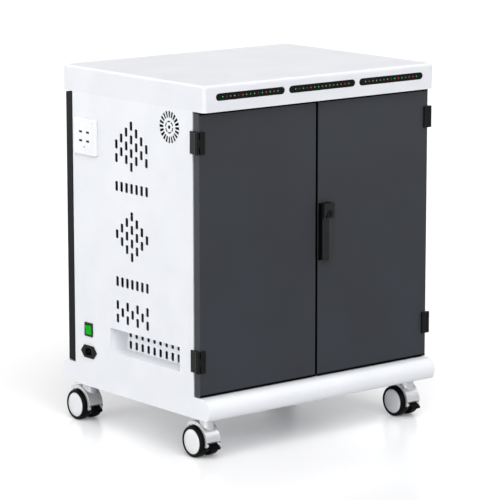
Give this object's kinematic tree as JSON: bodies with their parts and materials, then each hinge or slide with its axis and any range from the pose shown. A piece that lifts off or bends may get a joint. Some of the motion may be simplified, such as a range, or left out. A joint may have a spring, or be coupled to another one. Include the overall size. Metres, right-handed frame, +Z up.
{
  "type": "laptop charging cart",
  "caption": "Steel laptop charging cart on braked swivel casters, with divided shelves, twin grey front doors with a rod-lock handle, a rear door and vented sides.",
  "frame": {"origin": "on the floor under the middle of the cart", "axes": "+Z up, -Y out of the two front doors, +X to the right of someone facing those doors"},
  "size_m": [0.7104, 0.572, 0.86],
  "materials": {
    "white_powder_coat": "smooth satin powder coat",
    "white_moulding": "satin moulded plastic",
    "clear_lens": "glossy smoked lens over small lamps",
    "shelf_paint": "matt dark grey paint",
    "black_plastic": "fine matt texture",
    "green_rocker": "glossy translucent",
    "door_powder_coat": "satin dark grey powder coat",
    "black_powder_coat": "satin black powder coat",
    "zinc_steel": "bright zinc plate",
    "hinge_black": "black coated zinc casting",
    "silver_moulding": "silver grey moulded plastic",
    "tyre_rubber": "plain tread"
  },
  "bodies": {
    "cabinet": {"base_tray": "white_powder_coat", "left_side_panel": "white_powder_coat", "right_side_panel": "white_powder_coat", "top_cover": "white_moulding", "indicator_bar": "clear_lens", "ceiling_pan": "shelf_paint", "left_vent_pocket": "white_powder_coat", "partition_wall": "shelf_paint", "lower_shelf": "shelf_paint", "upper_shelf": "shelf_paint", "lower_power_strip": "black_plastic", "upper_power_strip": "black_plastic", "fan_frame": "black_plastic", "socket_plate": "white_moulding", "switch_bezel": "black_plastic", "power_inlet": "black_plastic", "left_upper_hinge_frame_leaf": "hinge_black", "left_lower_hinge_frame_leaf": "hinge_black", "right_upper_hinge_frame_leaf": "hinge_black", "right_lower_hinge_frame_leaf": "hinge_black", "rear_upper_hinge_frame_leaf": "hinge_black", "rear_lower_hinge_frame_leaf": "hinge_black", "front_left_caster_plate": "zinc_steel", "front_right_caster_plate": "zinc_steel", "rear_left_caster_plate": "zinc_steel", "rear_right_caster_plate": "zinc_steel"},
    "left_leaf": {"left_door": "door_powder_coat", "left_upper_hinge_door_leaf": "hinge_black", "left_lower_hinge_door_leaf": "hinge_black"},
    "right_leaf": {"right_door": "door_powder_coat", "right_upper_hinge_door_leaf": "hinge_black", "right_lower_hinge_door_leaf": "hinge_black", "handle_housing": "black_plastic"},
    "rear_leaf": {"rear_door": "black_powder_coat", "rear_upper_hinge_door_leaf": "hinge_black", "rear_lower_hinge_door_leaf": "hinge_black"},
    "handle": {"handle_lever": "black_plastic", "latch_cam": "zinc_steel"},
    "key_plug": {"lock_plug": "zinc_steel"},
    "upper_rod": {"upper_lock_rod": "zinc_steel"},
    "lower_rod": {"lower_lock_rod": "zinc_steel"},
    "rear_cam_lock": {"rear_lock": "zinc_steel"},
    "rocker": {"switch_rocker": "green_rocker"},
    "fan_wheel": {"fan_rotor": "black_plastic"},
    "front_left_caster": {"front_left_caster_hood": "silver_moulding"},
    "front_left_outer_wheel": {"front_left_wheel_outer": "tyre_rubber"},
    "front_left_inner_wheel": {"front_left_wheel_inner": "tyre_rubber"},
    "front_left_brake": {"front_left_brake_pedal": "black_plastic"},
    "front_right_caster": {"front_right_caster_hood": "silver_moulding"},
    "front_right_outer_wheel": {"front_right_wheel_outer": "tyre_rubber"},
    "front_right_inner_wheel": {"front_right_wheel_inner": "tyre_rubber"},
    "front_right_brake": {"front_right_brake_pedal": "black_plastic"},
    "rear_left_caster": {"rear_left_caster_hood": "silver_moulding"},
    "rear_left_outer_wheel": {"rear_left_wheel_outer": "tyre_rubber"},
    "rear_left_inner_wheel": {"rear_left_wheel_inner": "tyre_rubber"},
    "rear_left_brake": {"rear_left_brake_pedal": "black_plastic"},
    "rear_right_caster": {"rear_right_caster_hood": "silver_moulding"},
    "rear_right_outer_wheel": {"rear_right_wheel_outer": "tyre_rubber"},
    "rear_right_inner_wheel": {"rear_right_wheel_inner": "tyre_rubber"},
    "rear_right_brake": {"rear_right_brake_pedal": "black_plastic"}
  },
  "joints": [
    {"name": "left_door_swing", "type": "hinge", "parent": "cabinet", "child": "left_leaf", "pos_m": [-0.3503, -0.251, 0.473], "axis": [0, 0, -1], "range_deg": [0, 180]},
    {"name": "right_door_swing", "type": "hinge", "parent": "cabinet", "child": "right_leaf", "pos_m": [0.3503, -0.251, 0.473], "axis": [0, 0, 1], "range_deg": [0, 180]},
    {"name": "rear_door_swing", "type": "hinge", "parent": "cabinet", "child": "rear_leaf", "pos_m": [0.3503, 0.257, 0.473], "axis": [0, 0, -1], "range_deg": [0, 180]},
    {"name": "handle_turn", "type": "hinge", "parent": "right_leaf", "child": "handle", "pos_m": [0.026, -0.26, 0.533], "axis": [0, -1, 0], "range_deg": [0, 90]},
    {"name": "key_turn", "type": "hinge", "parent": "handle", "child": "key_plug", "pos_m": [0.026, -0.27, 0.533], "axis": [0, -1, 0], "range_deg": [0, 90]},
    {"name": "upper_rod_slide", "type": "slide", "parent": "right_leaf", "child": "upper_rod", "axis": [0, 0, -1], "range_m": [0, 0.0198]},
    {"name": "lower_rod_slide", "type": "slide", "parent": "right_leaf", "child": "lower_rod", "axis": [0, 0, 1], "range_m": [0, 0.0198]},
    {"name": "rear_lock_turn", "type": "hinge", "parent": "rear_leaf", "child": "rear_cam_lock", "pos_m": [-0.3003, 0.25, 0.49], "axis": [0, -1, 0], "range_deg": [0, 90]},
    {"name": "rocker_tip", "type": "hinge", "parent": "cabinet", "child": "rocker", "pos_m": [-0.3408, 0.173, 0.236], "axis": [0, 1, 0], "range_deg": [0, 18]},
    {"name": "fan_spin", "type": "hinge", "parent": "cabinet", "child": "fan_wheel", "pos_m": [-0.3306, -0.144, 0.755], "axis": [1, 0, 0], "continuous": true},
    {"name": "front_left_swivel", "type": "hinge", "parent": "cabinet", "child": "front_left_caster", "pos_m": [-0.307, -0.228, 0.08], "axis": [0, 0, 1], "continuous": true},
    {"name": "front_left_outer_wheel_spin", "type": "hinge", "parent": "front_left_caster", "child": "front_left_outer_wheel", "pos_m": [-0.307, -0.208, 0.03693], "axis": [1, 0, 0], "continuous": true},
    {"name": "front_left_inner_wheel_spin", "type": "hinge", "parent": "front_left_caster", "child": "front_left_inner_wheel", "pos_m": [-0.307, -0.208, 0.03693], "axis": [1, 0, 0], "continuous": true},
    {"name": "front_left_brake_press", "type": "hinge", "parent": "front_left_caster", "child": "front_left_brake", "pos_m": [-0.307, -0.24972, 0.03254], "axis": [1, 0, 0], "range_deg": [0, 20]},
    {"name": "front_right_swivel", "type": "hinge", "parent": "cabinet", "child": "front_right_caster", "pos_m": [0.307, -0.228, 0.08], "axis": [0, 0, 1], "continuous": true},
    {"name": "front_right_outer_wheel_spin", "type": "hinge", "parent": "front_right_caster", "child": "front_right_outer_wheel", "pos_m": [0.307, -0.208, 0.03693], "axis": [1, 0, 0], "continuous": true},
    {"name": "front_right_inner_wheel_spin", "type": "hinge", "parent": "front_right_caster", "child": "front_right_inner_wheel", "pos_m": [0.307, -0.208, 0.03693], "axis": [1, 0, 0], "continuous": true},
    {"name": "front_right_brake_press", "type": "hinge", "parent": "front_right_caster", "child": "front_right_brake", "pos_m": [0.307, -0.24972, 0.03254], "axis": [1, 0, 0], "range_deg": [0, 20]},
    {"name": "rear_left_swivel", "type": "hinge", "parent": "cabinet", "child": "rear_left_caster", "pos_m": [-0.307, 0.228, 0.08], "axis": [0, 0, 1], "continuous": true},
    {"name": "rear_left_outer_wheel_spin", "type": "hinge", "parent": "rear_left_caster", "child": "rear_left_outer_wheel", "pos_m": [-0.307, 0.248, 0.03693], "axis": [1, 0, 0], "continuous": true},
    {"name": "rear_left_inner_wheel_spin", "type": "hinge", "parent": "rear_left_caster", "child": "rear_left_inner_wheel", "pos_m": [-0.307, 0.248, 0.03693], "axis": [1, 0, 0], "continuous": true},
    {"name": "rear_left_brake_press", "type": "hinge", "parent": "rear_left_caster", "child": "rear_left_brake", "pos_m": [-0.307, 0.20628, 0.03254], "axis": [1, 0, 0], "range_deg": [0, 20]},
    {"name": "rear_right_swivel", "type": "hinge", "parent": "cabinet", "child": "rear_right_caster", "pos_m": [0.307, 0.228, 0.08], "axis": [0, 0, 1], "continuous": true},
    {"name": "rear_right_outer_wheel_spin", "type": "hinge", "parent": "rear_right_caster", "child": "rear_right_outer_wheel", "pos_m": [0.307, 0.248, 0.03693], "axis": [1, 0, 0], "continuous": true},
    {"name": "rear_right_inner_wheel_spin", "type": "hinge", "parent": "rear_right_caster", "child": "rear_right_inner_wheel", "pos_m": [0.307, 0.248, 0.03693], "axis": [1, 0, 0], "continuous": true},
    {"name": "rear_right_brake_press", "type": "hinge", "parent": "rear_right_caster", "child": "rear_right_brake", "pos_m": [0.307, 0.20628, 0.03254], "axis": [1, 0, 0], "range_deg": [0, 20]}
  ],
  "couplings": [
    {"joint": "upper_rod_slide", "follows": "handle_turn", "m_per_rad": 0.012604},
    {"joint": "lower_rod_slide", "follows": "handle_turn", "m_per_rad": 0.012604}
  ]
}
